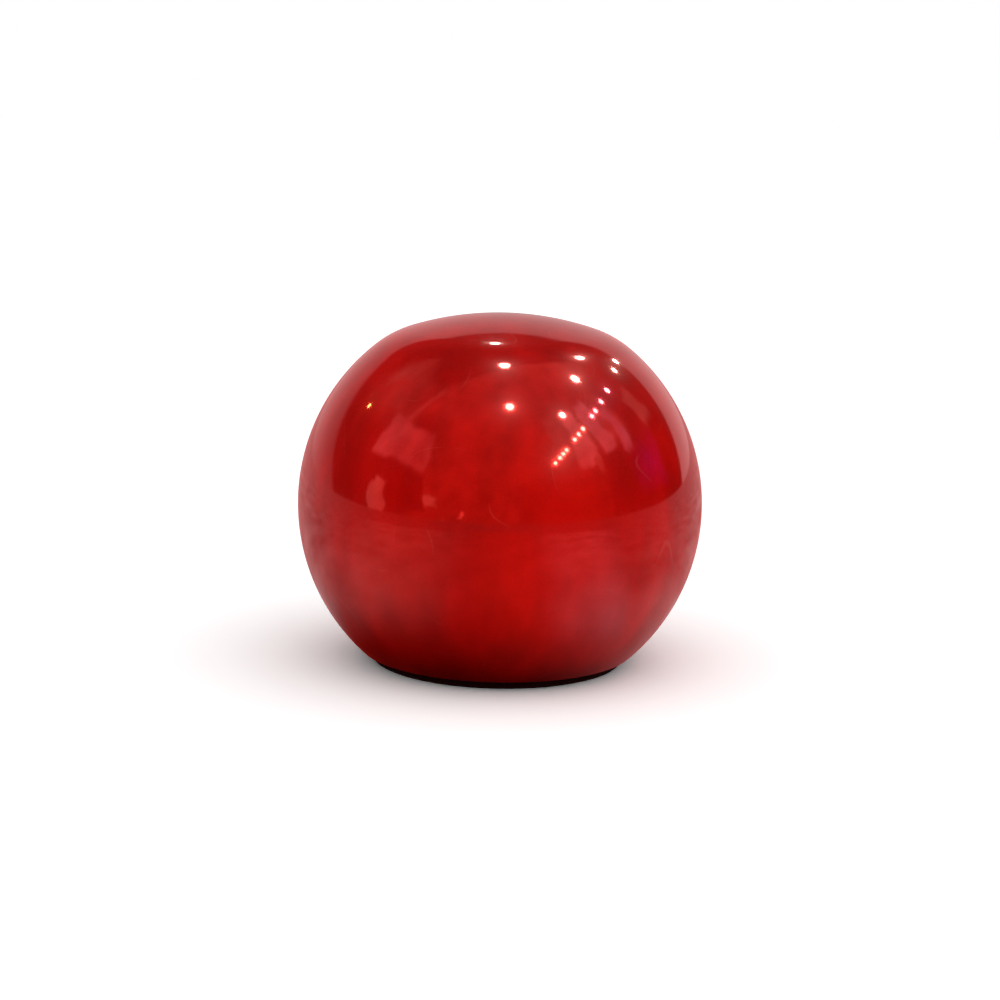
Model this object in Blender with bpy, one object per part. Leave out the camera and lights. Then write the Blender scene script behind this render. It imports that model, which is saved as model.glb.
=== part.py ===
"""A croquet ball that stands on a flat foot, for show: two moulded cups of hard shell,
fused on a cork composition core, with a felt pad under the foot.

Metres, +Z up. The origin is the centre of the pad's underside, where the ball rests.
"""

from math import acos, asin, cos, pi, radians, sin, sqrt

import bmesh
import bpy

GAP = 0.0003  # left between pieces that touch

# The ball's outside. Its round side is a true sphere about the ball's centre.
BALL_RADIUS = 0.046
CENTRE_HEIGHT = 0.036  # the ball's centre above the table
SHOULDER_RADIUS = 0.023
SHOULDER_ANGLE = radians(38.8)  # from the axis, where the round side turns into the shoulder
CROWN_RADIUS = 0.0684
FOOT_EDGE_RADIUS = 0.0015

# The inside and the lap joint between the cups, which lies level with the ball's centre.
WALL = 0.008
LIP_HEIGHT = 0.004

# The felt pad
PAD_RADIUS = 0.0287
PAD_THICKNESS = 0.0017

# Worked out from the above. Heights are measured from the ball's centre.
CORE_RADIUS = BALL_RADIUS - WALL
CAVITY_RADIUS = CORE_RADIUS + GAP
LIP_RADIUS = BALL_RADIUS - WALL / 2
CUT_LEVEL = PAD_THICKNESS + GAP - CENTRE_HEIGHT  # the flat cut across both the cup and the core
LEVEL = pi / 2  # an angle from +Z that points along the joint plane
DOWN = pi

# How finely round shapes are divided
SEGMENTS = 60
ARC_STEP = radians(6)


def arc(radius, start, end, centre=(0.0, 0.0)):
    """Points (distance from the axis, height) along an arc. Angles run from +Z towards +X."""
    steps = max(2, round(abs(end - start) / ARC_STEP))
    angles = [start + (end - start) * step / steps for step in range(steps + 1)]
    return [(centre[0] + radius * sin(a), centre[1] + radius * cos(a)) for a in angles]


def turned(name, outline, height, material, closed=False):
    """A solid turned about Z from its outline, with the outline's zero height at this height."""
    mesh = bpy.data.meshes.new(name)
    shape = bmesh.new()
    corners = [shape.verts.new((reach, 0.0, level)) for reach, level in outline]
    pairs = list(zip(corners, corners[1:]))
    if closed:
        pairs.append((corners[-1], corners[0]))
    edges = [shape.edges.new(pair) for pair in pairs]
    bmesh.ops.spin(
        shape,
        geom=corners + edges,
        cent=(0.0, 0.0, 0.0),
        axis=(0.0, 0.0, 1.0),
        angle=2 * pi,
        steps=SEGMENTS,
        use_merge=True,
    )
    bmesh.ops.remove_doubles(shape, verts=shape.verts, dist=1e-6)
    bmesh.ops.recalc_face_normals(shape, faces=shape.faces)
    shape.to_mesh(mesh)
    shape.free()
    mesh.materials.append(material)
    mesh.shade_smooth()
    mesh.set_sharp_from_angle(angle=radians(30))
    solid = bpy.data.objects.new(name, mesh)
    solid.location = (0.0, 0.0, height)
    bpy.context.scene.collection.objects.link(solid)
    return solid


def finish(name, colour, roughness):
    """A plain Principled material. The colour is linear."""
    material = bpy.data.materials.new(name)
    material.use_nodes = True
    shader = material.node_tree.nodes["Principled BSDF"]
    shader.inputs["Base Color"].default_value = (*colour, 1.0)
    shader.inputs["Roughness"].default_value = roughness
    shader.inputs["Metallic"].default_value = 0.0
    return material


def crown_outline():
    """From the pole to the round side: the crown's shallow arc, then the shoulder's tight one."""
    inward = BALL_RADIUS - SHOULDER_RADIUS
    shoulder_centre = (inward * sin(SHOULDER_ANGLE), inward * cos(SHOULDER_ANGLE))
    spread = CROWN_RADIUS - SHOULDER_RADIUS
    crown_angle = asin(shoulder_centre[0] / spread)
    crown_centre = (0.0, shoulder_centre[1] - spread * cos(crown_angle))
    crown = arc(CROWN_RADIUS, 0.0, crown_angle, crown_centre)
    shoulder = arc(SHOULDER_RADIUS, crown_angle, SHOULDER_ANGLE, shoulder_centre)
    return crown + shoulder[1:]


def upper_shell():
    """The upper cup, from its pole down the outside, round the rebate and up the cavity."""
    joint_level = GAP / 2
    rebate_radius = LIP_RADIUS + GAP
    rebate_level = LIP_HEIGHT + GAP / 2
    side_end = LEVEL - asin(joint_level / BALL_RADIUS)
    cavity_start = acos(rebate_level / CAVITY_RADIUS)
    outline = crown_outline()
    outline += arc(BALL_RADIUS, SHOULDER_ANGLE, side_end)[1:]
    outline += [(rebate_radius, joint_level), (rebate_radius, rebate_level)]
    outline += arc(CAVITY_RADIUS, cavity_start, 0.0)
    red = finish("upper_shell_red", (0.402, 0.005, 0.004), 0.08)
    return turned("upper_shell", outline, CENTRE_HEIGHT, red)


def lower_shell():
    """The lower cup: down the outside, round the foot's edge, in to the core, up the cavity
    and over the lip."""
    joint_level = -GAP / 2
    lip_level = LIP_HEIGHT - GAP / 2
    edge_reach = BALL_RADIUS - FOOT_EDGE_RADIUS
    edge_level = CUT_LEVEL + FOOT_EDGE_RADIUS
    edge_centre = (sqrt(edge_reach**2 - edge_level**2), edge_level)
    side_start = LEVEL + asin(-joint_level / BALL_RADIUS)
    side_end = acos(edge_level / edge_reach)
    outline = arc(BALL_RADIUS, side_start, side_end)
    outline += arc(FOOT_EDGE_RADIUS, side_end, DOWN, edge_centre)[1:]
    outline += arc(CAVITY_RADIUS, acos(CUT_LEVEL / CAVITY_RADIUS), acos(lip_level / CAVITY_RADIUS))
    outline += [(LIP_RADIUS, lip_level), (LIP_RADIUS, joint_level)]
    red = finish("lower_shell_red", (0.402, 0.005, 0.004), 0.08)
    return turned("lower_shell", outline, CENTRE_HEIGHT, red, closed=True)


def core():
    """The ball of cork composition, cut flat in one plane with the lower cup."""
    outline = arc(CORE_RADIUS, 0.0, acos(CUT_LEVEL / CORE_RADIUS))
    outline.append((0.0, CUT_LEVEL))
    cork = finish("core_cork", (0.33, 0.17, 0.07), 0.85)
    return turned("core", outline, CENTRE_HEIGHT, cork)


def felt_pad():
    """The disc of felt under the foot."""
    outline = [(0.0, PAD_THICKNESS), (PAD_RADIUS, PAD_THICKNESS), (PAD_RADIUS, 0.0), (0.0, 0.0)]
    felt = finish("felt_pad_black", (0.012, 0.011, 0.011), 0.95)
    return turned("felt_pad", outline, 0.0, felt)


def main():
    for leftover in list(bpy.data.objects):
        bpy.data.objects.remove(leftover)
    upper_shell()
    lower_shell()
    core()
    felt_pad()


main()
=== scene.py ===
"""Looks for a croquet ball with a flat foot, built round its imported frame.

Both moulded cups, the cork core and the felt pad are turned by Geometry Nodes from the
frame's own sizes, and each gets a procedural material. Metres, +Z up.
"""

from math import acos, asin, cos, pi, radians, sin, sqrt

import bpy
from mathutils import Matrix, Vector


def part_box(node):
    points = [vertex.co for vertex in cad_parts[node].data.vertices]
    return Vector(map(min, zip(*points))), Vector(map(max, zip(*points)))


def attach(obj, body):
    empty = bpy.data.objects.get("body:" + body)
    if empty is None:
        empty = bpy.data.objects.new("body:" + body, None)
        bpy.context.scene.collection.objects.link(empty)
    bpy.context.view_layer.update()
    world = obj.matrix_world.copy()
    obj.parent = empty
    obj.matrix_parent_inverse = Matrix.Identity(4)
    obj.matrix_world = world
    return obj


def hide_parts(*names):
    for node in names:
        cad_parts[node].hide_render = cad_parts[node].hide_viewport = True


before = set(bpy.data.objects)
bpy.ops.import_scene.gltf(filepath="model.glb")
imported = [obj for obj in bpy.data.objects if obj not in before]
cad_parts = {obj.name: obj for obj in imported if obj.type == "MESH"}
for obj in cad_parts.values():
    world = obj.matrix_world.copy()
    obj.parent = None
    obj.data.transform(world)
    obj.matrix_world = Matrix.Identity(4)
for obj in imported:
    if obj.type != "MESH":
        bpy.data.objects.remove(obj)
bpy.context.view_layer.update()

MM = 0.001
RIGHT_ANGLE = pi / 2
HALF_TURN = pi
WHOLE_TURN = 2 * pi

# How finely the turned pieces are divided
SEGMENTS = 256
FINE_ROW = radians(0.5)  # on the polished outside, which mirrors the room
PLAIN_ROW = radians(4)  # inside, where nothing shows

# ---------------------------------------------------------------- sizes, from the frame

UPPER_LOW, UPPER_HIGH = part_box("upper_shell")
LOWER_LOW, LOWER_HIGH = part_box("lower_shell")
CORE_LOW, CORE_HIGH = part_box("core")
PAD_LOW, PAD_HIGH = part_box("felt_pad")

BALL_RADIUS = LOWER_HIGH.x
CORE_RADIUS = CORE_HIGH.x
PAD_RADIUS = PAD_HIGH.x
CENTRE_HEIGHT = CORE_HIGH.z - CORE_RADIUS
GAP = LOWER_LOW.z - PAD_HIGH.z
CAVITY_RADIUS = CORE_RADIUS + GAP
WALL = BALL_RADIUS - CORE_RADIUS
LIP_RADIUS = BALL_RADIUS - WALL / 2
LIP_LEVEL = LOWER_HIGH.z - CENTRE_HEIGHT
REBATE_LEVEL = LIP_LEVEL + GAP
CUT_LEVEL = LOWER_LOW.z - CENTRE_HEIGHT
CROWN_LEVEL = UPPER_HIGH.z - CENTRE_HEIGHT
FOOT_EDGE_RADIUS = 1.5 * MM
PAD_EDGE_RADIUS = 0.35 * MM
SHOULDER_TURN = radians(38.8)  # from the axis, where the round side turns into the shoulder
POLISH_WAVE = 0.02 * MM  # the polishing wheel's waves, which show only in what the gloss mirrors
GRANULE_DEPTH = 0.25 * MM  # the uneven skin of pressed cork


# ---------------------------------------------------------------- small tools


def node(tree, kind, inputs=None, **settings):
    """Adds a node with these settings. Each input gets a value, or a link from a node or socket."""
    made = tree.nodes.new(kind)
    for name, value in settings.items():
        setattr(made, name, value)
    for key, value in (inputs or {}).items():
        if isinstance(value, bpy.types.Node):
            value = value.outputs[0]
        if isinstance(value, bpy.types.NodeSocket):
            tree.links.new(value, made.inputs[key])
        else:
            made.inputs[key].default_value = value
    return made


def every(size):
    """The scale of a pattern whose features are this many millimetres apart."""
    return 1 / (size * MM)


def linear(code):
    """A colour written as an sRGB hex code, turned to linear red, green, blue and alpha."""
    shares = [int(code[place : place + 2], 16) / 255 for place in (0, 2, 4)]
    return (*(s / 12.92 if s <= 0.04045 else ((s + 0.055) / 1.055) ** 2.4 for s in shares), 1.0)


# ---------------------------------------------------------------- turned pieces


def arc_move():
    """A node group: adds to Point an arc of this radius between two angles from +Z."""
    tree = bpy.data.node_groups.new("arc_move", "GeometryNodeTree")
    tree.interface.new_socket("Point", in_out="INPUT", socket_type="NodeSocketVector")
    for name in ("Row", "First Row", "Last Row", "Radius", "From", "To"):
        tree.interface.new_socket(name, in_out="INPUT", socket_type="NodeSocketFloat")
    tree.interface.new_socket("Point", in_out="OUTPUT", socket_type="NodeSocketVector")
    given = node(tree, "NodeGroupInput").outputs
    angle = node(
        tree,
        "ShaderNodeMapRange",
        {
            0: given["Row"],
            1: given["First Row"],
            2: given["Last Row"],
            3: given["From"],
            4: given["To"],
        },
    )
    ends = []
    for source in (angle, given["From"]):
        sine = node(tree, "ShaderNodeMath", {0: source}, operation="SINE")
        cosine = node(tree, "ShaderNodeMath", {0: source}, operation="COSINE")
        ends.append(node(tree, "ShaderNodeCombineXYZ", {"X": sine, "Z": cosine}))
    chord = node(tree, "ShaderNodeVectorMath", {0: ends[0], 1: ends[1]}, operation="SUBTRACT")
    step = node(
        tree, "ShaderNodeVectorMath", {0: chord, "Scale": given["Radius"]}, operation="SCALE"
    )
    total = node(tree, "ShaderNodeVectorMath", {0: given["Point"], 1: step})
    node(tree, "NodeGroupOutput", {"Point": total})
    return tree


def line_move():
    """A node group: takes Point in a straight line to a distance from the axis and a level."""
    tree = bpy.data.node_groups.new("line_move", "GeometryNodeTree")
    tree.interface.new_socket("Point", in_out="INPUT", socket_type="NodeSocketVector")
    for name in ("Row", "First Row", "Last Row", "Reach", "Level"):
        tree.interface.new_socket(name, in_out="INPUT", socket_type="NodeSocketFloat")
    tree.interface.new_socket("Point", in_out="OUTPUT", socket_type="NodeSocketVector")
    given = node(tree, "NodeGroupInput").outputs
    share = node(
        tree, "ShaderNodeMapRange", {0: given["Row"], 1: given["First Row"], 2: given["Last Row"]}
    )
    end = node(tree, "ShaderNodeCombineXYZ", {"X": given["Reach"], "Z": given["Level"]})
    between = node(
        tree,
        "ShaderNodeMix",
        {"Factor": share, 4: given["Point"], 5: end},
        data_type="VECTOR",
    )
    node(tree, "NodeGroupOutput", {"Point": between.outputs[1]})
    return tree


ARC_MOVE = arc_move()
LINE_MOVE = line_move()


def turned_tree(name, sizes, moves, wave_scale):
    """A tree that turns an outline about Z. sizes become its named inputs. moves are the outline's
    arcs (radius, from, to, rows) and lines (reach, level, rows), where all but the count of rows
    is a size's name or a number. wave_scale is for the shallow waves in its skin."""
    tree = bpy.data.node_groups.new(name, "GeometryNodeTree")
    tree.interface.new_socket("Geometry", in_out="OUTPUT", socket_type="NodeSocketGeometry")
    for size in ("Start Reach", "Start Level", "Height", "Wave Depth", *sizes):
        tree.interface.new_socket(size, in_out="INPUT", socket_type="NodeSocketFloat")
    tree.interface.new_socket("Material", in_out="INPUT", socket_type="NodeSocketMaterial")
    given = node(tree, "NodeGroupInput").outputs
    rows = sum(move[-1] for move in moves)
    grid = node(
        tree,
        "GeometryNodeMeshGrid",
        {"Size X": 1.0, "Size Y": 1.0, "Vertices X": rows + 1, "Vertices Y": SEGMENTS + 1},
    )
    place = node(tree, "ShaderNodeSeparateXYZ", {0: node(tree, "GeometryNodeInputPosition")})
    row = node(
        tree, "ShaderNodeMapRange", {0: place.outputs[0], 1: -0.5, 2: 0.5, 3: 0.0, 4: float(rows)}
    )
    turn = node(
        tree, "ShaderNodeMapRange", {0: place.outputs[1], 1: -0.5, 2: 0.5, 3: 0.0, 4: WHOLE_TURN}
    )
    point = node(
        tree, "ShaderNodeCombineXYZ", {"X": given["Start Reach"], "Z": given["Start Level"]}
    )
    first = 0
    for move in moves:
        last = first + move[-1]
        values = [given[size] if isinstance(size, str) else size for size in move[:-1]]
        keys = ("Radius", "From", "To") if len(values) == 3 else ("Reach", "Level")
        inputs = {"Point": point, "Row": row, "First Row": float(first), "Last Row": float(last)}
        inputs.update(zip(keys, values))
        group = ARC_MOVE if len(values) == 3 else LINE_MOVE
        point = node(tree, "GeometryNodeGroup", inputs, node_tree=group)
        first = last
    apart = node(tree, "ShaderNodeSeparateXYZ", {0: point})
    sine = node(tree, "ShaderNodeMath", {0: turn}, operation="SINE")
    cosine = node(tree, "ShaderNodeMath", {0: turn}, operation="COSINE")
    out = node(tree, "ShaderNodeCombineXYZ", {"X": cosine, "Y": sine})
    flat = node(
        tree, "ShaderNodeVectorMath", {0: out, "Scale": apart.outputs[0]}, operation="SCALE"
    )
    level = node(tree, "ShaderNodeCombineXYZ", {"Z": apart.outputs[2]})
    around = node(tree, "ShaderNodeVectorMath", {0: flat, 1: level})
    # The waves go inward only, from nothing to Wave Depth.
    wave = node(tree, "ShaderNodeTexNoise", {"Vector": around, "Scale": wave_scale, "Detail": 1.0})
    height = node(tree, "ShaderNodeMapRange", {0: wave, 1: 0.0, 2: 1.0, 3: -1.0, 4: 0.0})
    outward = node(tree, "ShaderNodeVectorMath", {0: around}, operation="NORMALIZE")
    depth = node(tree, "ShaderNodeMath", {0: height, 1: given["Wave Depth"]}, operation="MULTIPLY")
    dent = node(tree, "ShaderNodeVectorMath", {0: outward, "Scale": depth}, operation="SCALE")
    waved = node(tree, "ShaderNodeVectorMath", {0: around, 1: dent})
    lift = node(tree, "ShaderNodeCombineXYZ", {"Z": given["Height"]})
    raised = node(tree, "ShaderNodeVectorMath", {0: waved, 1: lift})
    shaped = node(tree, "GeometryNodeSetPosition", {"Geometry": grid, "Position": raised})
    closed = node(tree, "GeometryNodeMergeByDistance", {"Geometry": shaped, "Distance": 1e-7})
    smooth = node(tree, "GeometryNodeSetShadeSmooth", {"Geometry": closed}, domain="FACE")
    bend = node(tree, "GeometryNodeInputMeshEdgeAngle")
    corner = node(tree, "ShaderNodeMath", {0: bend, 1: radians(30)}, operation="GREATER_THAN")
    creased = node(
        tree,
        "GeometryNodeSetShadeSmooth",
        {"Geometry": smooth, "Selection": corner, "Shade Smooth": False},
        domain="EDGE",
    )
    real = node(tree, "GeometryNodeRealizeInstances", {"Geometry": creased})
    coloured = node(
        tree, "GeometryNodeSetMaterial", {"Geometry": real, "Material": given["Material"]}
    )
    node(tree, "NodeGroupOutput", {"Geometry": coloured})
    return tree


def grown(name, tree, values, start=None):
    """Runs a tree on a new object and keeps the result as a plain mesh."""
    piece = bpy.data.objects.new(name, start or bpy.data.meshes.new(name))
    bpy.context.scene.collection.objects.link(piece)
    modifier = piece.modifiers.new(tree.name, "NODES")
    modifier.node_group = tree
    for item in tree.interface.items_tree:
        if item.in_out == "INPUT" and item.name in values:
            modifier[item.identifier] = values[item.name]
    graph = bpy.context.evaluated_depsgraph_get()
    mesh = bpy.data.meshes.new_from_object(piece.evaluated_get(graph), depsgraph=graph)
    mesh.name = name
    piece.modifiers.clear()
    piece.data = mesh
    return piece


def rows_for(angle, row):
    """How many rows of this angle an arc takes."""
    return max(2, round(abs(angle) / row))


def crown_sizes():
    """The two tangent arcs that take the round side over the flattened crown."""
    shoulder_radius = BALL_RADIUS / 2
    inward = BALL_RADIUS - shoulder_radius
    across, up = inward * sin(SHOULDER_TURN), inward * cos(SHOULDER_TURN)
    fall = CROWN_LEVEL - up - shoulder_radius
    spread = (across**2 + fall**2) / (2 * fall)
    return {
        "Crown Radius": shoulder_radius + spread,
        "Crown Turn": asin(across / spread),
        "Shoulder Radius": shoulder_radius,
        "Shoulder Turn": SHOULDER_TURN,
    }


def upper_cup(material):
    """The upper moulded cup: crown, shoulder and round side, then the rebate and the cavity."""
    sizes = crown_sizes()
    sizes.update(
        {
            "Ball Radius": BALL_RADIUS,
            "Thin Row": RIGHT_ANGLE - FINE_ROW / 8,
            "Rebate Radius": LIP_RADIUS + GAP,
            "Rebate Level": REBATE_LEVEL,
            "Cavity Radius": CAVITY_RADIUS,
            "Cavity Reach": sqrt(CAVITY_RADIUS**2 - REBATE_LEVEL**2),
            "Cavity Turn": acos(REBATE_LEVEL / CAVITY_RADIUS),
        }
    )
    moves = [
        ("Crown Radius", 0.0, "Crown Turn", rows_for(sizes["Crown Turn"], FINE_ROW)),
        ("Shoulder Radius", "Crown Turn", "Shoulder Turn", 40),
        ("Ball Radius", "Shoulder Turn", "Thin Row", 102),
        ("Ball Radius", "Thin Row", RIGHT_ANGLE, 1),
        ("Rebate Radius", 0.0, 1),
        ("Rebate Radius", "Rebate Level", 1),
        ("Cavity Reach", "Rebate Level", 1),
        ("Cavity Radius", "Cavity Turn", 0.0, rows_for(RIGHT_ANGLE, PLAIN_ROW)),
    ]
    tree = turned_tree("turned_upper_cup", sizes, moves, wave_scale=every(11))
    start = {"Start Reach": 0.0, "Start Level": CROWN_LEVEL, "Height": CENTRE_HEIGHT}
    values = {**start, **sizes, "Wave Depth": POLISH_WAVE, "Material": material}
    return grown("upper_cup", tree, values)


def lower_cup(material):
    """The lower moulded cup: round side, dressed foot edge, flat cut, cavity and lip."""
    edge_reach = BALL_RADIUS - FOOT_EDGE_RADIUS
    edge_level = CUT_LEVEL + FOOT_EDGE_RADIUS
    sizes = {
        "Ball Radius": BALL_RADIUS,
        "Thin Row": RIGHT_ANGLE + FINE_ROW / 8,
        "Edge Turn": acos(edge_level / edge_reach),
        "Edge Radius": FOOT_EDGE_RADIUS,
        "Opening Reach": sqrt(CAVITY_RADIUS**2 - CUT_LEVEL**2),
        "Cut Level": CUT_LEVEL,
        "Cavity Radius": CAVITY_RADIUS,
        "Opening Turn": acos(CUT_LEVEL / CAVITY_RADIUS),
        "Lip Turn": acos(LIP_LEVEL / CAVITY_RADIUS),
        "Lip Radius": LIP_RADIUS,
        "Lip Level": LIP_LEVEL,
    }
    moves = [
        ("Ball Radius", RIGHT_ANGLE, "Thin Row", 1),
        ("Ball Radius", "Thin Row", "Edge Turn", 92),
        ("Edge Radius", "Edge Turn", HALF_TURN, 12),
        ("Opening Reach", "Cut Level", 1),
        ("Cavity Radius", "Opening Turn", "Lip Turn", 18),
        ("Lip Radius", "Lip Level", 1),
        ("Lip Radius", 0.0, 1),
        ("Ball Radius", 0.0, 1),
    ]
    tree = turned_tree("turned_lower_cup", sizes, moves, wave_scale=every(11))
    start = {"Start Reach": BALL_RADIUS, "Start Level": 0.0, "Height": CENTRE_HEIGHT}
    values = {**start, **sizes, "Wave Depth": POLISH_WAVE, "Material": material}
    return grown("lower_cup", tree, values)


def cork_core(material):
    """The pressed core, cut flat in one plane with the lower cup."""
    sizes = {
        "Core Radius": CORE_RADIUS,
        "Opening Turn": acos(CUT_LEVEL / CORE_RADIUS),
        "Cut Level": CUT_LEVEL,
    }
    moves = [("Core Radius", 0.0, "Opening Turn", 90), (0.0, "Cut Level", 12)]
    tree = turned_tree("turned_core", sizes, moves, wave_scale=every(2.5))
    start = {"Start Reach": 0.0, "Start Level": CORE_RADIUS, "Height": CENTRE_HEIGHT}
    values = {**start, **sizes, "Wave Depth": GRANULE_DEPTH, "Material": material}
    return grown("cork_core", tree, values)


def pad_disc(material):
    """The felt disc, pressed up against the foot and a little rounded along its lower edge."""
    sizes = {"Pad Radius": PAD_RADIUS, "Top Level": LOWER_LOW.z, "Edge Radius": PAD_EDGE_RADIUS}
    moves = [
        ("Pad Radius", "Top Level", 24),
        ("Pad Radius", "Edge Radius", 4),
        ("Edge Radius", RIGHT_ANGLE, HALF_TURN, 4),
        (0.0, 0.0, 24),
    ]
    tree = turned_tree("turned_pad", sizes, moves, wave_scale=every(1))
    start = {"Start Reach": 0.0, "Start Level": LOWER_LOW.z, "Height": 0.0}
    values = {**start, **sizes, "Wave Depth": 0.0, "Material": material}
    return grown("felt_disc", tree, values)


def fibre_tree():
    """A tree that scatters short bent fibres over the rim of the disc it is given."""
    tree = bpy.data.node_groups.new("felt_fibres", "GeometryNodeTree")
    tree.interface.new_socket("Geometry", in_out="INPUT", socket_type="NodeSocketGeometry")
    tree.interface.new_socket("Geometry", in_out="OUTPUT", socket_type="NodeSocketGeometry")
    for size in ("Fibres Per Area", "Length", "Thickness", "Lowest", "Highest"):
        tree.interface.new_socket(size, in_out="INPUT", socket_type="NodeSocketFloat")
    tree.interface.new_socket("Seed", in_out="INPUT", socket_type="NodeSocketInt")
    tree.interface.new_socket("Material", in_out="INPUT", socket_type="NodeSocketMaterial")
    given = node(tree, "NodeGroupInput").outputs
    points = node(
        tree,
        "GeometryNodeDistributePointsOnFaces",
        {"Mesh": given["Geometry"], "Density": given["Fibres Per Area"], "Seed": given["Seed"]},
    )
    normal = node(tree, "ShaderNodeSeparateXYZ", {0: points.outputs["Normal"]}).outputs[2]
    steep = node(tree, "ShaderNodeMath", {0: normal}, operation="ABSOLUTE")
    face = node(tree, "ShaderNodeMath", {0: steep, 1: 0.5}, operation="GREATER_THAN")
    place = node(tree, "GeometryNodeInputPosition")
    level = node(tree, "ShaderNodeSeparateXYZ", {0: place}).outputs[2]
    low = node(tree, "ShaderNodeMath", {0: level, 1: given["Lowest"]}, operation="LESS_THAN")
    high = node(tree, "ShaderNodeMath", {0: level, 1: given["Highest"]}, operation="GREATER_THAN")
    outside = node(tree, "ShaderNodeMath", {0: low, 1: high}, operation="ADD")
    dropped = node(tree, "ShaderNodeMath", {0: outside, 1: face}, operation="ADD")
    rim = node(
        tree, "GeometryNodeDeleteGeometry", {"Geometry": points.outputs[0], "Selection": dropped}
    )
    bent = node(
        tree,
        "GeometryNodeCurveQuadraticBezier",
        {"Resolution": 4, "Start": (0, 0, 0), "Middle": (0, 0, 0.6), "End": (0.6, 0, 0.7)},
    )
    section = node(
        tree,
        "GeometryNodeCurvePrimitiveCircle",
        {"Resolution": 3, "Radius": given["Thickness"]},
    )
    fibre = node(
        tree,
        "GeometryNodeCurveToMesh",
        {"Curve": bent, "Profile Curve": section, "Fill Caps": True},
    )
    aim = node(
        tree, "FunctionNodeAlignRotationToVector", {"Vector": points.outputs["Normal"]}, axis="Z"
    )
    spin = node(
        tree,
        "FunctionNodeRandomValue",
        {0: (0.0, 0.0, 0.0), 1: (0.7, 0.7, WHOLE_TURN), "Seed": given["Seed"]},
        data_type="FLOAT_VECTOR",
    )
    tilt = node(tree, "FunctionNodeEulerToRotation", {0: spin})
    turned = node(
        tree,
        "FunctionNodeRotateRotation",
        {"Rotation": aim, "Rotate By": tilt},
        rotation_space="LOCAL",
    )
    size = node(tree, "FunctionNodeRandomValue", {2: 0.5, 3: 1.0, "Seed": given["Seed"]})
    longer = node(
        tree, "ShaderNodeMath", {0: size.outputs[1], 1: given["Length"]}, operation="MULTIPLY"
    )
    planted = node(
        tree,
        "GeometryNodeInstanceOnPoints",
        {"Points": rim, "Instance": fibre, "Rotation": turned, "Scale": longer},
    )
    real = node(tree, "GeometryNodeRealizeInstances", {"Geometry": planted})
    coloured = node(
        tree, "GeometryNodeSetMaterial", {"Geometry": real, "Material": given["Material"]}
    )
    node(tree, "NodeGroupOutput", {"Geometry": coloured})
    return tree


def pad_fibres(disc, material):
    """Loose wool fibres 0.2 to 0.5 mm long round the disc's cut edge."""
    values = {
        "Fibres Per Area": 6e6,
        "Length": 0.45 * MM,
        "Thickness": 0.03,  # as a share of the length
        "Lowest": 0.5 * MM,
        "Highest": LOWER_LOW.z - 0.3 * MM,
        "Seed": 5,
        "Material": material,
    }
    return grown("felt_fibres", fibre_tree(), values, start=disc.data)


# ---------------------------------------------------------------- materials


def new_material(name):
    """An empty material, its tree and its Principled shader, joined to the output."""
    material = bpy.data.materials.new(name)
    material.use_nodes = True
    tree = material.node_tree
    tree.nodes.clear()
    shader = node(tree, "ShaderNodeBsdfPrincipled")
    node(tree, "ShaderNodeOutputMaterial", {"Surface": shader})
    return material, tree, shader


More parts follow.
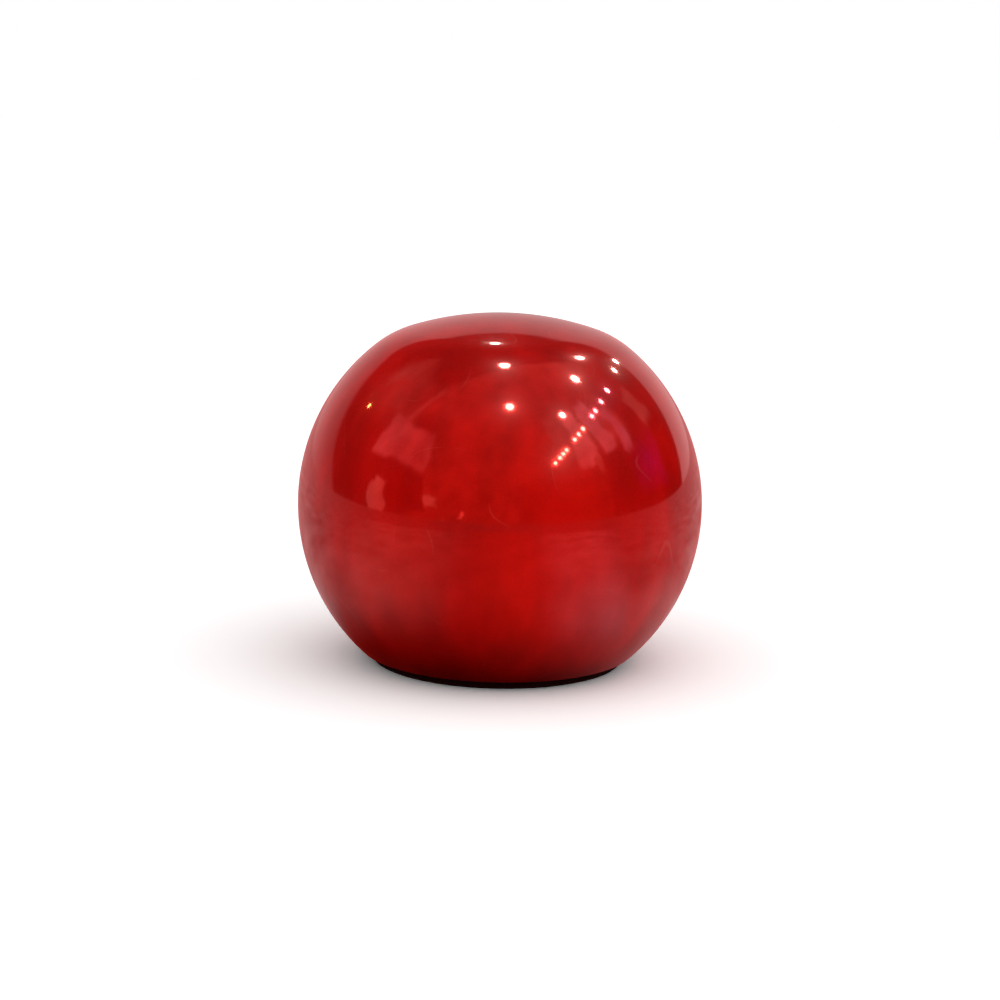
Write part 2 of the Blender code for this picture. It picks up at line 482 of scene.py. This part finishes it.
def polished_composition():
    """Hard moulded nylon composition, dyed through in deep red and polished to a mirror gloss.
    The dye sits in faint upright drifts and soft clouds. It also tints what the polish mirrors
    straight on, while at a grazing angle the mirror is clear, which gives the pale rim."""
    material, tree, shader = new_material("polished_red_composition")
    where = node(tree, "ShaderNodeTexCoord").outputs["Object"]

    # Clouds of about 18 mm, and streaks of about 8 mm that run seven times as far upward
    cloud = node(tree, "ShaderNodeTexNoise", {"Vector": where, "Scale": every(18), "Detail": 3.0})
    drawn = node(tree, "ShaderNodeMapping", {"Vector": where, "Scale": (1.0, 1.0, 0.14)})
    streak = node(tree, "ShaderNodeTexNoise", {"Vector": drawn, "Scale": every(7.7), "Detail": 2.0})
    both = node(tree, "ShaderNodeMath", {0: cloud, 1: streak}, operation="MULTIPLY")
    share = node(tree, "ShaderNodeMapRange", {0: both, 1: 0.13, 2: 0.37})
    dye = node(
        tree,
        "ShaderNodeMix",
        {"Factor": share, 6: linear("9A0301"), 7: linear("BA0502")},
        data_type="RGBA",
    )

    # Grain of about 0.4 mm, from the moulding powder
    powder = node(tree, "ShaderNodeTexNoise", {"Vector": where, "Scale": every(0.4), "Detail": 1.0})
    dust = node(tree, "ShaderNodeMapRange", {0: powder, 1: 0.3, 2: 0.7, 3: 0.93, 4: 1.07})
    grain = node(
        tree, "ShaderNodeVectorMath", {0: dye.outputs[2], "Scale": dust}, operation="SCALE"
    )

    # Hairline scuffs from handling, 0.2 mm wide, gently curved and mostly worn away
    drift = node(tree, "ShaderNodeTexNoise", {"Vector": where, "Scale": every(16), "Detail": 0.0})
    level = node(tree, "ShaderNodeMath", {0: drift, 1: 0.5}, operation="SUBTRACT")
    away = node(tree, "ShaderNodeMath", {0: level}, operation="ABSOLUTE")
    line = node(tree, "ShaderNodeMapRange", {0: away, 1: 0.002, 2: 0.006, 3: 1.0, 4: 0.0})
    kept = node(tree, "ShaderNodeTexNoise", {"Vector": where, "Scale": every(11), "Detail": 2.0})
    left = node(tree, "ShaderNodeMapRange", {0: kept, 1: 0.54, 2: 0.66, 3: 0.0, 4: 0.2})
    scuff = node(tree, "ShaderNodeMath", {0: line, 1: left}, operation="MULTIPLY")
    worn = node(
        tree,
        "ShaderNodeMix",
        {"Factor": scuff, 6: grain, 7: linear("C9504A")},
        data_type="RGBA",
    )
    tree.links.new(worn.outputs[2], shader.inputs["Base Color"])

    # The polish is a little duller in patches, as from a cloth. It mirrors strongly in the dye's
    # red, blooms red towards the rim, and has a faint haze that spreads round bright lamps.
    smear = node(tree, "ShaderNodeTexNoise", {"Vector": where, "Scale": every(14), "Detail": 4.0})
    rough = node(tree, "ShaderNodeMapRange", {0: smear, 1: 0.3, 2: 0.75, 3: 0.04, 4: 0.09})
    tree.links.new(rough.outputs[0], shader.inputs["Roughness"])
    shader.inputs["IOR"].default_value = 1.8
    shader.inputs["Specular IOR Level"].default_value = 0.8
    shader.inputs["Specular Tint"].default_value = (1.0, 0.046, 0.038, 1.0)
    shader.inputs["Sheen Weight"].default_value = 0.75
    shader.inputs["Sheen Roughness"].default_value = 0.3
    shader.inputs["Sheen Tint"].default_value = (1.0, 0.03, 0.02, 1.0)
    shader.inputs["Coat Weight"].default_value = 0.07
    shader.inputs["Coat Roughness"].default_value = 0.27
    shader.inputs["Coat IOR"].default_value = 1.5
    return material


def pressed_cork():
    """Cork granules of 2 to 3 mm pressed with a dark rubber binder: a speckled, matt brown."""
    material, tree, shader = new_material("pressed_cork_composition")
    where = node(tree, "ShaderNodeTexCoord").outputs["Object"]
    granule = node(tree, "ShaderNodeTexVoronoi", {"Vector": where, "Scale": every(2.5)})
    ramp = node(tree, "ShaderNodeValToRGB", {0: granule.outputs["Color"]})
    ramp.color_ramp.elements[0].color = linear("7A4E2B")
    ramp.color_ramp.elements[1].color = linear("C08B55")
    edge = node(
        tree,
        "ShaderNodeTexVoronoi",
        {"Vector": where, "Scale": every(2.5)},
        feature="DISTANCE_TO_EDGE",
    )
    inside = node(tree, "ShaderNodeMapRange", {0: edge, 1: 0.02, 2: 0.12})
    cork = node(
        tree,
        "ShaderNodeMix",
        {"Factor": inside, 6: linear("2B1D16"), 7: ramp},
        data_type="RGBA",
    )
    tree.links.new(cork.outputs[2], shader.inputs["Base Color"])
    bump = node(tree, "ShaderNodeBump", {"Height": inside, "Strength": 0.5, "Distance": 0.2 * MM})
    tree.links.new(bump.outputs[0], shader.inputs["Normal"])
    shader.inputs["Roughness"].default_value = 0.85
    return material


def felt_with_painted_foot_shade():
    """Pressed black wool felt, shown in a dark red that is partly painted shade: it stands for the
    shaded red edge of the foot just above it. The short tangled fibres leave no gloss at all."""
    material, tree, shader = new_material("dark_felt_with_painted_foot_shade")
    where = node(tree, "ShaderNodeTexCoord").outputs["Object"]
    fibre = node(tree, "ShaderNodeTexNoise", {"Vector": where, "Scale": every(0.4), "Detail": 4.0})
    # The dark red tone is partly painted shade, matching the shaded red edge of the foot.
    tone = node(
        tree,
        "ShaderNodeMix",
        {"Factor": fibre, 6: linear("170504"), 7: linear("3E0D0B")},
        data_type="RGBA",
    )
    tree.links.new(tone.outputs[2], shader.inputs["Base Color"])
    bump = node(tree, "ShaderNodeBump", {"Height": fibre, "Strength": 0.8, "Distance": 0.2 * MM})
    tree.links.new(bump.outputs[0], shader.inputs["Normal"])
    shader.inputs["Roughness"].default_value = 0.95
    shader.inputs["Specular IOR Level"].default_value = 0.1
    return material


# ---------------------------------------------------------------- stage, light and camera

CAMERA_DISTANCE = 12 * BALL_RADIUS  # from the ball's centre
CAMERA_ELEVATION = radians(11)
CAMERA_ROLL = radians(1.3)
BALL_SHARE = 0.4044  # of the frame's width
BALL_CENTRE = Vector((0.0, 0.0, CENTRE_HEIGHT))
AIM_ABOVE_CENTRE = 0.7 * MM


def soft_patch():
    """A node group: paints Colour over Under between four edges, in degrees, softly."""
    tree = bpy.data.node_groups.new("soft_patch", "ShaderNodeTree")
    for name in ("Under", "Colour"):
        tree.interface.new_socket(name, in_out="INPUT", socket_type="NodeSocketColor")
    for name in ("Across", "Up", "Left", "Right", "Low", "High", "Softness"):
        tree.interface.new_socket(name, in_out="INPUT", socket_type="NodeSocketFloat")
    tree.interface.new_socket("Colour", in_out="OUTPUT", socket_type="NodeSocketColor")
    given = node(tree, "NodeGroupInput").outputs
    share = 1.0
    edges = (("Across", "Left", 1), ("Across", "Right", -1), ("Up", "Low", 1), ("Up", "High", -1))
    for way, edge, side in edges:
        past = node(tree, "ShaderNodeMath", {0: given[way], 1: given[edge]}, operation="SUBTRACT")
        steps = node(tree, "ShaderNodeMath", {0: past, 1: given["Softness"]}, operation="DIVIDE")
        inside = node(
            tree,
            "ShaderNodeMapRange",
            {0: steps, 1: -1.0 * side, 2: 1.0 * side},
            interpolation_type="SMOOTHSTEP",
        )
        share = node(tree, "ShaderNodeMath", {0: share, 1: inside}, operation="MULTIPLY")
    painted = node(
        tree,
        "ShaderNodeMix",
        {"Factor": share, 6: given["Under"], 7: given["Colour"]},
        data_type="RGBA",
    )
    node(tree, "NodeGroupOutput", {"Colour": painted.outputs[2]})
    return tree


SOFT_PATCH = soft_patch()


def painted_over(tree, under, across, up, patches):
    """Paints patches (left, right, low, high, softness, colour) over a colour, in this order."""
    for *edges, colour in patches:
        inputs = {"Under": under, "Across": across, "Up": up, "Colour": (*colour, 1.0)}
        inputs.update(zip(("Left", "Right", "Low", "High", "Softness"), edges))
        under = node(tree, "ShaderNodeGroup", inputs, node_tree=SOFT_PATCH)
    return under


def warm(brightness):
    """The colour of warm room light at this brightness."""
    return (brightness, 0.97 * brightness, 0.85 * brightness)


def cluttered(tree, colour, where, scale):
    """Breaks a mirrored colour up unevenly, as small things and soft shadows do."""
    noise = node(tree, "ShaderNodeTexNoise", {"Vector": where, "Scale": scale, "Detail": 4.0})
    share = node(tree, "ShaderNodeMapRange", {0: noise, 1: 0.3, 2: 0.7, 3: 0.6, 4: 1.4})
    broken = node(tree, "ShaderNodeVectorMath", {0: colour, "Scale": share}, operation="SCALE")
    return broken.outputs[0]


# What the ball mirrors round it. Each patch runs between two azimuths, from the camera towards
# the right, and two elevations, all in degrees. Softness of the edges and colour follow.
ROOM = (
    (-50, 65, -12, 60, 10, (0.72, 0.3, 0.2)),  # the wall behind the camera
    (-75, 125, 52, 95, 8, (0.75, 0.43, 0.37)),  # the ceiling
    (-125, -70, 36, 60, 8, warm(0.4)),  # pale haze to the left of it
    (-88, -47, 23, 42, 1.5, (1.1, 1.2, 1.3)),  # a lit panel, left
    (-79, -74, 40, 62, 2, (0.85, 0.95, 0.92)),  # its hanging rail
    (-78, -68, -6, 13, 1, (1.1, 1.5, 1.35)),  # a bright door edge below it
    (-66, -43, 3, 21, 1, warm(0.0)),  # a dark opening
    (-42, -36, 6, 10, 0.7, (1.6, 2.6, 2.2)),  # small things on a shelf
    (-38, -30, -3, 0, 0.7, (1.2, 1.6, 1.3)),
    (-23, -21, 0, 4, 0.7, warm(3.5)),
    (46, 100, 30, 52, 3, warm(0.6)),  # a bright curtain, right
    (37, 47, 41, 54, 2, (0.9, 1.2, 1.1)),  # its folds, slightly violet
    (52, 66, 26, 54, 1.5, (1.7, 2.6, 2.9)),
    (70, 82, 28, 54, 1.5, (1.4, 2.2, 2.7)),
    (88, 96, 25, 45, 1.5, (0.9, 1.3, 1.8)),
    (62, 66, 14, 28, 1, (0.9, 1.2, 1.0)),
    (12, 68, -3, 22, 2, (0.5, 0.12, 0.04)),  # low dark furniture, right
    (66, 131, -3, 22, 3, warm(0.0)),
    (88, 108, 8, 22, 6, (0.2, 0.0, 0.5)),  # a dim violet glow in it
    (112, 125, 24, 38, 2, warm(0.4)),
)

FLOOR_REACH = 3.0
FLOOR_CORNERS = ((-1, -1), (1, -1), (1, 1), (-1, 1))
# Painted pools of light in the glow that the polish mirrors of the floor.
FLOOR_PAINTED_POOLS = (  # azimuths in degrees, distances in millimetres, softness of the edges, colour
    (-72, -26, 46, 400, 14, (0.65, 0.95, 0.9)),
    (24, 58, 46, 400, 10, (0.8, 1.2, 1.4)),
    (-14, 18, 40, 500, 10, (0.85, 0.26, 0.16)),
)


def floor():
    """A wide pale floor. The polish mirrors it as a glow that is painted darker than the floor
    looks, with three painted pools of light in front of the ball and a painted shade falling to
    black under its side, where the ball shades it."""
    mesh = bpy.data.meshes.new("floor")
    corners = [(side * FLOOR_REACH, ahead * FLOOR_REACH, 0.0) for side, ahead in FLOOR_CORNERS]
    mesh.from_pydata(corners, [], [(0, 1, 2, 3)])
    material, tree, shader = new_material("pale_floor")
    where = node(tree, "ShaderNodeTexCoord").outputs["Object"]
    side, ahead, _ = node(tree, "ShaderNodeSeparateXYZ", {0: where}).outputs
    front = node(tree, "ShaderNodeMath", {0: ahead, 1: -1.0}, operation="MULTIPLY")
    angle = node(tree, "ShaderNodeMath", {0: side, 1: front}, operation="ARCTAN2")
    azimuth = node(tree, "ShaderNodeMath", {0: angle}, operation="DEGREES").outputs[0]
    distance = node(tree, "ShaderNodeVectorMath", {0: where}, operation="LENGTH").outputs["Value"]
    reach = node(tree, "ShaderNodeMath", {0: distance, 1: MM}, operation="DIVIDE").outputs[0]
    plain = node(tree, "ShaderNodeRGB")
    plain.outputs[0].default_value = (0.4, 0.4, 0.4, 1.0)
    painted_pools = painted_over(tree, plain.outputs[0], azimuth, reach, FLOOR_PAINTED_POOLS)
    painted_pools = cluttered(tree, painted_pools, where, every(45))

    # Painted shade of the ball, reaching a little further to the front and the left. It darkens the
    # floor's mirrored glow and the colour the floor gives to light it throws back onto the ball.
    shifted = node(tree, "ShaderNodeVectorMath", {0: where, 1: (0.008, 0.009, 0.0)})
    shade = node(tree, "ShaderNodeVectorMath", {0: shifted}, operation="LENGTH").outputs["Value"]
    near = node(
        tree,
        "ShaderNodeMapRange",
        {0: shade, 1: 0.024, 2: 0.064, 3: 0.0, 4: 1.0},
        interpolation_type="SMOOTHSTEP",
    )
    mirrored = node(tree, "ShaderNodeVectorMath", {0: painted_pools, "Scale": near}, operation="SCALE")
    painted_bounce_shade = node(tree, "ShaderNodeMath", {0: near, 1: 1.4}, operation="POWER")
    path = node(tree, "ShaderNodeLightPath")
    tone = node(
        tree,
        "ShaderNodeMix",
        {"Factor": path.outputs["Is Diffuse Ray"], 6: (1.13, 1.13, 1.13, 1.0), 7: painted_bounce_shade},
        data_type="RGBA",
    )
    tree.links.new(tone.outputs[2], shader.inputs["Base Color"])
    shader.inputs["Roughness"].default_value = 1.0
    shader.inputs["Specular IOR Level"].default_value = 0.0
    # The polish sees the floor as this glow of painted light and shade.
    seen = node(tree, "ShaderNodeEmission", {"Color": mirrored})
    choice = node(
        tree, "ShaderNodeMixShader", {0: path.outputs["Is Glossy Ray"], 1: shader, 2: seen}
    )
    tree.links.new(choice.outputs[0], tree.nodes["Material Output"].inputs["Surface"])
    mesh.materials.append(material)
    stage = bpy.data.objects.new("floor", mesh)
    bpy.context.scene.collection.objects.link(stage)


def studio():
    """Even soft light, a little stronger from the front and the right and weaker near the floor.
    The gloss mirrors a dim room with a pale backdrop behind the ball, and the camera sees plain
    white."""
    world = bpy.data.worlds.new("studio")
    bpy.context.scene.world = world
    world.use_nodes = True
    world.cycles.sampling_method = "NONE"
    tree = world.node_tree
    tree.nodes.clear()
    way = node(tree, "ShaderNodeTexCoord").outputs["Generated"]
    side, ahead, up = node(tree, "ShaderNodeSeparateXYZ", {0: way}).outputs
    front = node(tree, "ShaderNodeMath", {0: ahead, 1: -1.0}, operation="MULTIPLY")
    angle = node(tree, "ShaderNodeMath", {0: side, 1: front}, operation="ARCTAN2")
    azimuth = node(tree, "ShaderNodeMath", {0: angle}, operation="DEGREES").outputs[0]
    rising = node(tree, "ShaderNodeMath", {0: up}, operation="ARCSINE")
    elevation = node(tree, "ShaderNodeMath", {0: rising}, operation="DEGREES").outputs[0]
    dim = node(tree, "ShaderNodeRGB")
    dim.outputs[0].default_value = (0.03, 0.03, 0.03, 1.0)

    # The polish bends what it mirrors, by up to 7 degrees across and 4 up.
    bend = node(tree, "ShaderNodeTexNoise", {"Vector": way, "Scale": 5.0, "Detail": 3.0})
    aside, aloft, _ = node(tree, "ShaderNodeSeparateColor", {0: bend.outputs["Color"]}).outputs
    bent = []
    for sway, angle, most in ((aside, azimuth, 7.0), (aloft, elevation, 4.0)):
        moved = node(
            tree, "ShaderNodeMath", {0: sway, 1: 2 * most, 2: angle}, operation="MULTIPLY_ADD"
        )
        bent.append(node(tree, "ShaderNodeMath", {0: moved, 1: most}, operation="SUBTRACT"))
    painted = painted_over(tree, dim.outputs[0], *bent, ROOM)
    room = cluttered(tree, painted, way, 7.0)

    # The backdrop is flat, so its edges are straight: across and rise are measured on its plane.
    near = node(tree, "ShaderNodeMath", {0: ahead, 1: 0.001}, operation="MAXIMUM")
    across = node(tree, "ShaderNodeMath", {0: side, 1: near}, operation="DIVIDE")
    rise = node(tree, "ShaderNodeMath", {0: up, 1: near}, operation="DIVIDE")
    lean = node(tree, "ShaderNodeMath", {0: rise, 1: 0.9, 2: across}, operation="MULTIPLY_ADD")
    top = node(tree, "ShaderNodeMapRange", {0: rise, 1: 0.74, 2: 0.7})
    right = node(tree, "ShaderNodeMapRange", {0: lean, 1: 1.36, 2: 1.28})
    slant = node(tree, "ShaderNodeMath", {0: rise, 1: -3.0, 2: across}, operation="MULTIPLY_ADD")
    left = node(tree, "ShaderNodeMapRange", {0: slant, 1: -3.2, 2: -2.7})
    lit = node(tree, "ShaderNodeMapRange", {0: across, 1: -1.6, 2: 0.5, 3: 0.35, 4: 0.85})
    fall = node(tree, "ShaderNodeMapRange", {0: rise, 1: 0.0, 2: 0.7, 3: 1.0, 4: 0.6})
    share = node(tree, "ShaderNodeMath", {0: top, 1: right}, operation="MULTIPLY")
    share = node(tree, "ShaderNodeMath", {0: share, 1: left}, operation="MULTIPLY")
    bright = node(tree, "ShaderNodeMath", {0: lit, 1: fall}, operation="MULTIPLY")
    whole = node(tree, "ShaderNodeMix", {"Factor": share, 6: room, 7: bright}, data_type="RGBA")

    toward = node(
        tree, "ShaderNodeVectorMath", {0: way, 1: (0.22, -0.42, 0.16)}, operation="DOT_PRODUCT"
    ).outputs["Value"]
    level = node(tree, "ShaderNodeMath", {0: toward, 1: 1.02})
    # It reaches full strength 18 degrees above the floor, or 48 in front.
    full = node(tree, "ShaderNodeMapRange", {0: front, 1: 0.3, 2: 0.9, 3: 18.0, 4: 48.0})
    low = node(tree, "ShaderNodeMapRange", {0: elevation, 1: -2.0, 2: full, 3: 0.0, 4: 1.0})
    even = node(tree, "ShaderNodeMath", {0: level, 1: low}, operation="MULTIPLY")
    path = node(tree, "ShaderNodeLightPath")
    soft = node(
        tree,
        "ShaderNodeMix",
        {"Factor": path.outputs["Is Camera Ray"], 6: even, 7: (1.0, 1.0, 1.0, 1.0)},
        data_type="RGBA",
    )
    chosen = node(
        tree,
        "ShaderNodeMix",
        {"Factor": path.outputs["Is Glossy Ray"], 6: soft.outputs[2], 7: whole.outputs[2]},
        data_type="RGBA",
    )
    sky = node(tree, "ShaderNodeBackground", {"Color": chosen.outputs[2]})
    node(tree, "ShaderNodeOutputWorld", {"Surface": sky})


def lamp(name, place, radius, radiance, colour):
    """A small round lamp that the polish mirrors. It lights nothing else."""
    light = bpy.data.lights.new(name, "POINT")
    light.shadow_soft_size = radius
    light.energy = radiance * 4 * pi**2 * radius**2
    light.color = linear(colour)[:3]
    holder = bpy.data.objects.new(name, light)
    holder.location = place
    holder.visible_diffuse = False
    holder.visible_camera = False
    bpy.context.scene.collection.objects.link(holder)


# Where the lamps hang, from the ball's centre: metres to the right and away from the camera
CEILING_LAMPS = (
    (-0.04, 0.86),
    (0.01, 0.04),
    (0.07, -0.47),
    (0.53, 0.58),
    (0.58, 0.13),
    (0.61, -0.42),
)
STRING_SIDE = 0.95
STRING_LAMPS = (1.26, 0.9, 0.34, 0.09, -0.1, -0.21, -0.47, -0.59, -0.71, -0.97, -1.08, -1.2, -1.38)
LAMP_HEIGHT = 1.0


def lamps():
    """Two rows of three ceiling lamps, a string of tiny ones to their right, and a warm one low
    on the left."""
    for number, (side, ahead) in enumerate(CEILING_LAMPS):
        where = Vector((side, ahead, LAMP_HEIGHT)) + BALL_CENTRE
        lamp(f"ceiling_lamp_{number}", where, 0.022 if number == 0 else 0.036, 260.0, "FFF6EA")
    for number, ahead in enumerate(STRING_LAMPS):
        where = Vector((STRING_SIDE, ahead, LAMP_HEIGHT)) + BALL_CENTRE
        colour = "FFE8FF" if 0.4 > ahead > -0.3 else "FFF1E0"
        lamp(f"string_lamp_{number}", where, 0.025, 150.0 * (1 + ahead**2), colour)
    lamp("warm_lamp", Vector((-0.8, 0.31, 0.52)) + BALL_CENTRE, 0.016, 90.0, "FFB060")


def camera():
    """Looks at the ball from a little above and leans very slightly to one side."""
    data = bpy.data.cameras.new("camera")
    half_width = BALL_SHARE * sqrt((CAMERA_DISTANCE / BALL_RADIUS) ** 2 - 1)
    data.lens = data.sensor_width * half_width / 2
    back = Vector((0.0, -cos(CAMERA_ELEVATION), sin(CAMERA_ELEVATION)))
    eye = bpy.data.objects.new("camera", data)
    target = BALL_CENTRE + Vector((0.0, 0.0, AIM_ABOVE_CENTRE))
    turn = (-back).to_track_quat("-Z", "Y").to_matrix().to_4x4()
    roll = Matrix.Rotation(CAMERA_ROLL, 4, "Z")
    eye.matrix_world = Matrix.Translation(target + back * CAMERA_DISTANCE) @ turn @ roll
    bpy.context.scene.collection.objects.link(eye)
    bpy.context.scene.camera = eye
    bpy.context.scene.view_settings.view_transform = "Standard"


# ---------------------------------------------------------------- making it all

red = polished_composition()
# The felt's dark red is partly painted shade under the foot.
wool = felt_with_painted_foot_shade()
disc = pad_disc(wool)
made = [
    (upper_cup(red), "upper_shell", "shell"),
    (lower_cup(red), "lower_shell", "shell"),
    (cork_core(pressed_cork()), "core", "core"),
    (disc, "felt_pad", "felt"),
    (pad_fibres(disc, wool), "felt_pad", "felt"),
]
for piece, cad_node, slot in made:
    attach(piece, "root")
    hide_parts(cad_node)

floor()
studio()
lamps()
camera()
